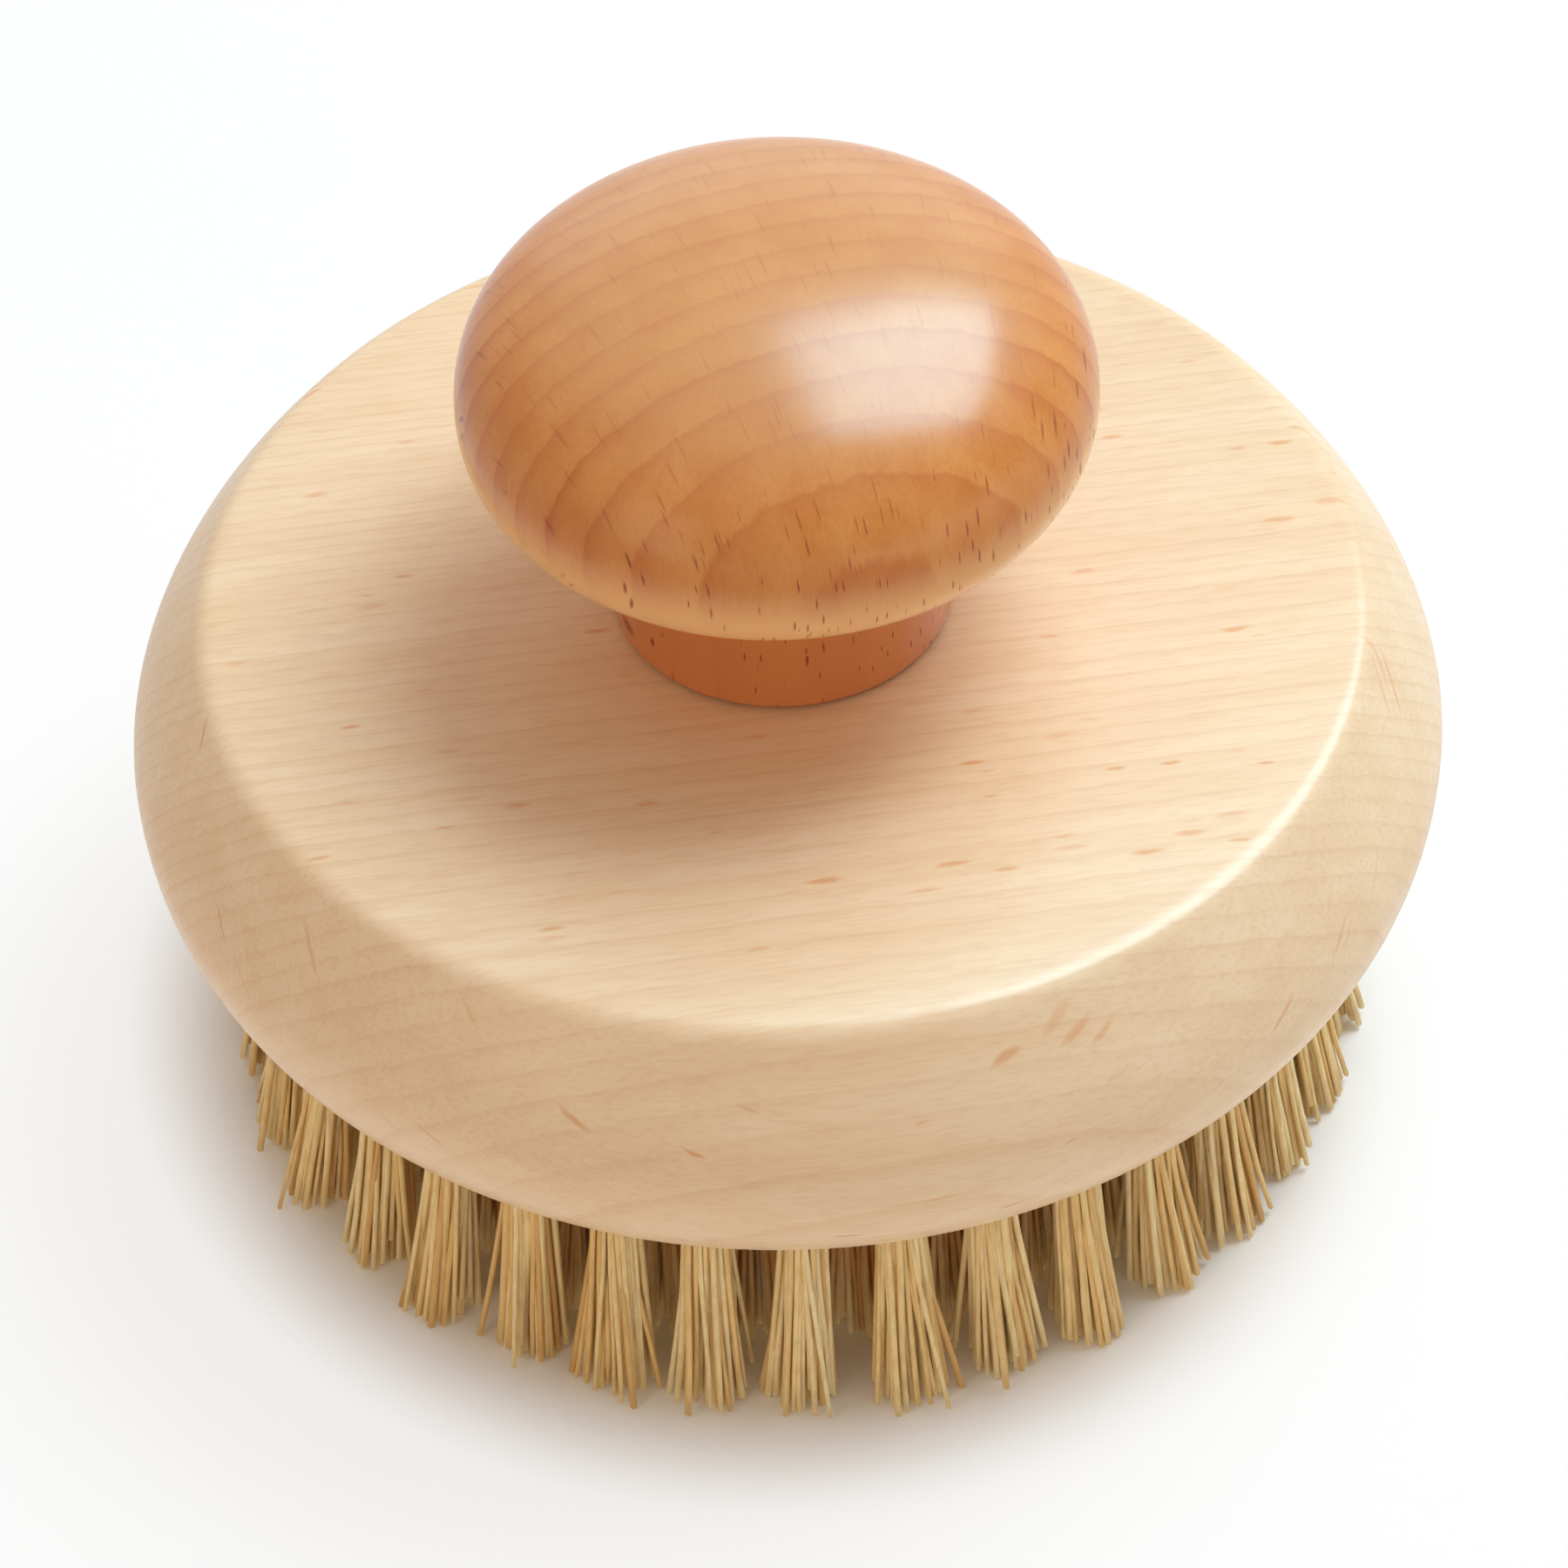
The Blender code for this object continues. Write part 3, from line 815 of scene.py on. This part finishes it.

# %% [markdown]
# Plant fibre is straw coloured, and no two fibres are quite alike: most are yellowish tan, some are
# browner. Each is a little darker at its root, from dust and from painted shade, and paler at the cut tip.
# The tufts of the inner rows are painted browner towards their roots, deep under the block, as painted
# shade, and are as pale as the others at their tips. Fine lengthwise streaks come from noise that is
# stretched along the fibres. The surface is almost dull.

# %% Plant fibre
def plant_fibre():
    """Straw coloured fibre, each with its own tone, browner at the root and deep among the inner rows."""
    material, tree, shader = new_material("plant_fibre")
    tone = add_node(tree, "ShaderNodeAttribute", {"attribute_name": "tone"}).outputs["Fac"]
    along = add_node(tree, "ShaderNodeAttribute", {"attribute_name": "along"}).outputs["Fac"]
    ramp = tree.nodes.new("ShaderNodeValToRGB")
    connect(tree, ramp.inputs[0], tone)
    shades = ((0.0, (222, 178, 114)), (0.2, (242, 208, 146)), (0.6, (250, 226, 170)), (1.0, (253, 236, 190)))
    while len(ramp.color_ramp.elements) < len(shades):
        ramp.color_ramp.elements.new(0.5)
    for element, (position, shade) in zip(ramp.color_ramp.elements, shades):
        element.position = position
        element.color = srgb(*shade)
    place = own_place(tree)
    streak = noise(tree, stretch(tree, place, (1, 1, 0.12)), scale=2600, detail=2, roughness=0.6)
    streaked = rescale(tree, streak, 0.35, 0.75, 0.0, 0.30)
    colour = blend_colour(tree, streaked, ramp.outputs[0], srgb(188, 142, 84))
    # painted shade, partly dust: each fibre is darker towards its root
    near_root = rescale(tree, along, 0.40, 0.0, 0.0, 0.35)
    colour = blend_colour(tree, near_root, colour, srgb(190, 132, 70))
    # painted shade: the inner rows are browner deep under the block, fading out towards the tips
    inner_rows = rescale(tree, distance_from_axis(tree, place), 0.0348, 0.0318)
    deep = calculate(tree, "MULTIPLY", inner_rows, rescale(tree, along, 0.95, 0.45))
    colour = tint(tree, colour, deep, 0.72, srgb(228, 150, 74))
    connect(tree, shader.inputs["Base Color"], colour)
    connect(tree, shader.inputs["Roughness"], rescale(tree, streak, 0.3, 0.8, 0.42, 0.6))
    shader.inputs["Specular IOR Level"].default_value = 0.10
    return material


fibre_finish = plant_fibre()
for piece in fibre_pieces:
    dress(piece, fibre_finish)
print("fibre finish:", fibre_finish.name, "on", len(fibre_pieces), "pieces")

# %% [markdown]
# The screw is hidden from the camera of the photograph, but the brush can be turned over, and then its head
# shows in the free middle of the fibres. It is a common countersunk wood screw with a cross recess. Its
# outline is turned like the wood, with a ridge for every turn of the thread, and the cross is cut with two
# bars.

# %% Turn the screw
thread_pitch = 0.0018
thread_radius = 0.0020
core_radius = 0.0014
shank_radius = 0.0018
head_radius = 0.0040
point_length = 0.0030
shank_top = 0.0100
head_height = 0.0026
tip_radius = 0.0005
tip_length = 0.0006
valley_share = 0.55
crest_share = 0.78
neck_radius = 0.0015
neck_length = 0.0004
head_edge_steps = ((-0.00008, 0.00045), (0.0, 0.00036), (0.0, 0.00012), (-0.00012, 0.0))
screw_facets = 48
cross_length = 0.0046
cross_width = 0.0010
cross_depth = 0.0016
cross_taper = 0.35


def screw_outline():
    """Point, threaded shank and countersunk head, from the point down to the face of the head."""
    points = [(0, screw_high.z), (tip_radius, screw_high.z - tip_length)]
    level = screw_high.z - point_length
    while level - thread_pitch > screw_low.z + shank_top:
        points += [(core_radius, level), (core_radius, level - thread_pitch * valley_share)]
        points.append((thread_radius, level - thread_pitch * crest_share))
        level -= thread_pitch
    points += [(neck_radius, level), (shank_radius, level - neck_length)]
    points.append((shank_radius, screw_low.z + head_height))
    points += [(head_radius + out, screw_low.z + up) for out, up in head_edge_steps]
    return points


screw = turn_on_lathe("knob_screw_steel", screw_outline(), screw_facets)
for azimuth in (0, 90):
    start_editing()
    turn = (0, 0, math.radians(azimuth))
    bpy.ops.mesh.primitive_cube_add(size=1, location=(0, 0, screw_low.z), rotation=turn)
    bar = bpy.context.active_object
    bar.scale = (cross_length, cross_width, cross_depth * 2)
    bpy.ops.object.transform_apply(location=True, rotation=True, scale=True)
    bpy.ops.object.mode_set(mode="EDIT")
    bpy.ops.mesh.select_all(action="DESELECT")
    bpy.ops.object.mode_set(mode="OBJECT")
    for face in bar.data.polygons:
        face.select = face.normal.z > 0.9
    bpy.ops.object.mode_set(mode="EDIT")
    bar_top = (0, 0, screw_low.z + cross_depth)
    bpy.ops.transform.resize(value=(cross_taper, cross_taper, 1), center_override=bar_top)
    bpy.ops.object.mode_set(mode="OBJECT")
    cut(screw, bar)
smooth(screw, 35)
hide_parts("knob_screw")
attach(screw, "root")
print("screw turned:", len(screw.data.polygons), "faces")

# %% [markdown]
# Zinc plated steel: grey metal with faint turning marks in circles round the axis, and cloudy patches where
# the plating is duller.

# %% Zinc plated steel
def zinc_steel():
    """Grey plated steel with turning marks and cloudy patches."""
    material, tree, shader = new_material("zinc_steel")
    place = own_place(tree)
    level = add_node(tree, "ShaderNodeSeparateXYZ", Vector=place).outputs[2]
    radius = distance_from_axis(tree, place)
    ring = add_node(tree, "ShaderNodeCombineXYZ", X=radius, Y=0.0, Z=level).outputs[0]
    marks = noise(tree, ring, scale=9000, detail=2)
    cloud = noise(tree, place, scale=700, detail=3)
    colour = blend_colour(tree, cloud, srgb(178, 180, 182), srgb(140, 142, 145))
    connect(tree, shader.inputs["Base Color"], colour)
    shader.inputs["Metallic"].default_value = 1.0
    connect(tree, shader.inputs["Roughness"], rescale(tree, cloud, 0.3, 0.7, 0.25, 0.42))
    bump = add_node(tree, "ShaderNodeBump", Strength=0.25, Distance=0.00003, Height=marks)
    connect(tree, shader.inputs["Normal"], bump.outputs[0])
    return material


dress(screw, zinc_steel())
print("screw finish:", screw.data.materials[0].name)

# %% [markdown]
# The photograph was lit from above and behind: one soft window, high and to the right, throws the knob's
# soft shadow to the front left and shows as a slanted bright patch on the dome. Here a rectangular area
# lamp is that window. A glint in the same place is for gloss alone: it makes the patch on the lacquer cool
# and bright, as the sky in a window is. A small skylight, which no gloss shows, tightens the core of the
# shadow. A wide window and a back window lift the right and the far side. Three dim cards in front lift the
# sides, the warm fill card on the left most of all. No lamp is seen by the camera itself.

# %% Light the scene
lamps_hang_round = aim_point + Vector((0, 0, 0.020))
window_toward = (0.385, 0.360, 0.850)
window_edge = (0.86, 0.09, -0.50)


def hang_lamp(name, toward, long_edge, distance, size, power, colour):
    """Rectangular area lamp, hung in a direction from the brush with its long edge turned one way."""
    data = bpy.data.lights.new(name, "AREA")
    data.shape = "RECTANGLE"
    data.size, data.size_y = size
    data.energy = power
    data.color = colour
    lamp = bpy.data.objects.new(name, data)
    bpy.context.collection.objects.link(lamp)
    lamp.visible_camera = False
    away = Vector(toward).normalized()
    across = Vector(long_edge)
    across = (across - away * across.dot(away)).normalized()
    place = lamps_hang_round + away * distance
    facing_brush = Matrix((across, away.cross(across), away)).transposed()
    lamp.matrix_world = Matrix.Translation(place) @ facing_brush.to_4x4()
    print("lamp:", name, "at", [round(value, 2) for value in place])
    return lamp


lamps = {}
for row in (
    ("window", window_toward, window_edge, 0.60, (0.41, 0.42), 2.38, (0.735, 0.905, 1.0)),
    ("skylight", (0.420, 0.160, 0.893), (1, 0, 0), 0.52, (0.18, 0.18), 0.45, (0.85, 0.95, 1.0)),
    ("glint", window_toward, window_edge, 0.62, (0.42, 0.43), 5.60, (0.36, 0.79, 1.0)),
    ("wide_window", (0.60, 0.30, 0.74), (0.70, 0.10, -0.66), 0.70, (0.60, 0.60), 0.68, (0.88, 0.97, 1.0)),
    ("back_window", (0.0, 0.951, 0.309), (1, 0, 0), 0.90, (1.0, 0.40), 0.85, (1.0, 1.0, 1.0)),
    ("side_card", (0.800, -0.590, 0.060), (0.59, 0.80, 0), 0.70, (0.80, 0.24), 0.50, (0.92, 0.97, 1.0)),
    ("front_card", (-0.220, -0.970, 0.090), (1, 0, 0), 0.70, (1.0, 0.14), 0.29, (1.0, 0.88, 0.74)),
    ("fill_card", (-0.640, -0.650, 0.400), (1, -1, 0), 0.80, (0.32, 0.50), 1.00, (1.0, 0.79, 0.58)),
):
    lamps[row[0]] = hang_lamp(*row)
lamps["skylight"].visible_glossy = False
lamps["glint"].visible_diffuse = False

# %% [markdown]
# The world is all that lies behind the brush and the lamps. On surfaces it shines bright and nearly white
# from above and behind, and darker and warm from the front, as a room with pale walls does. Where it shows
# as a background, to the camera, in gloss or through glass, it is plain white. A node that tells the kinds
# of rays apart makes that switch, and the floor uses the same one.

# %% Colour the world
def background_rays(tree):
    """1 for every ray that shows the background: from the camera, off a gloss or through glass."""
    rays = tree.nodes.new("ShaderNodeLightPath").outputs
    direct_or_mirrored = calculate(tree, "MAXIMUM", rays["Is Camera Ray"], rays["Is Glossy Ray"])
    return calculate(tree, "MAXIMUM", direct_or_mirrored, rays["Is Transmission Ray"])


world = bpy.data.worlds.new("white_studio")
bpy.context.scene.world = world
world.use_nodes = True
tree = world.node_tree
background = tree.nodes["Background"]
bright_side = Vector((0.16, 0.42, 0.89)).normalized()
wall_level = 0.47
dark_level = 0.24
direction = tree.nodes.new("ShaderNodeTexCoord").outputs["Generated"]
facing = add_node(
    tree, "ShaderNodeVectorMath", {"operation": "DOT_PRODUCT"}, _0=direction, _1=tuple(bright_side)
)
brightness = rescale(tree, facing.outputs["Value"], -0.05, 0.85)
walls = rescale(tree, brightness, 0.0, 1.0, dark_level, wall_level, smooth_step=False)
shows_white = background_rays(tree)
connect(tree, background.inputs["Strength"], calculate(tree, "MAXIMUM", walls, shows_white))
warm_white = (1.0, 0.97, 0.935, 1.0)
warm_shade = (1.0, 0.75, 0.49, 1.0)
plain_white = (1.0, 1.0, 1.0, 1.0)
room = blend_colour(tree, brightness, warm_shade, warm_white)
connect(tree, background.inputs["Color"], blend_colour(tree, shows_white, room, plain_white))
print("world level from", dark_level, "to", wall_level)

# %% [markdown]
# The floor is a round white sheet that the tips stand on, much wider than the view. Its soft shadow stays,
# but the camera sees the sheet a good deal paler than it is lit, as a sheet that glows, because the
# photograph was cut out on white. The glow is left out under the tufts, so that the gaps between them stay
# dark. For light that only bounces off the sheet, the glow is faint and warm.

# %% Lay the floor
floor_radius = 0.26
floor_level = -0.0001
floor_facets = 128
floor_glow = 0.76
bounce_glow = 0.19
warm_glow = (1.0, 0.86, 0.70, 1.0)
glow_from = 0.039
glow_to = 0.050
start_editing()
bpy.ops.mesh.primitive_circle_add(
    vertices=floor_facets, radius=floor_radius, fill_type="NGON", location=(0, 0, floor_level)
)
floor = bpy.context.active_object
floor.name = "floor"
material, tree, shader = new_material("white_floor")
place = own_place(tree)
paper = blend_colour(tree, noise(tree, place, scale=40), srgb(250, 250, 250), srgb(246, 246, 246))
connect(tree, shader.inputs["Base Color"], paper)
shader.inputs["Roughness"].default_value = 0.8
shader.inputs["Specular IOR Level"].default_value = 0.0
shows_white = background_rays(tree)
glow_colour = blend_colour(tree, shows_white, warm_glow, plain_white)
glow = add_node(tree, "ShaderNodeEmission", Color=glow_colour, Strength=1.0)
clear_of_tufts = rescale(tree, distance_from_axis(tree, place), glow_from, glow_to, 0.0, floor_glow)
clear_of_tufts = calculate(tree, "SUBTRACT", clear_of_tufts, bounce_glow)
share = calculate(tree, "MULTIPLY_ADD", shows_white, clear_of_tufts, bounce_glow)
mix = add_node(tree, "ShaderNodeMixShader", _0=share, _1=shader.outputs[0], _2=glow.outputs[0])
connect(tree, tree.nodes["Material Output"].inputs["Surface"], mix.outputs[0])
dress(floor, material)
print("floor radius:", floor_radius)
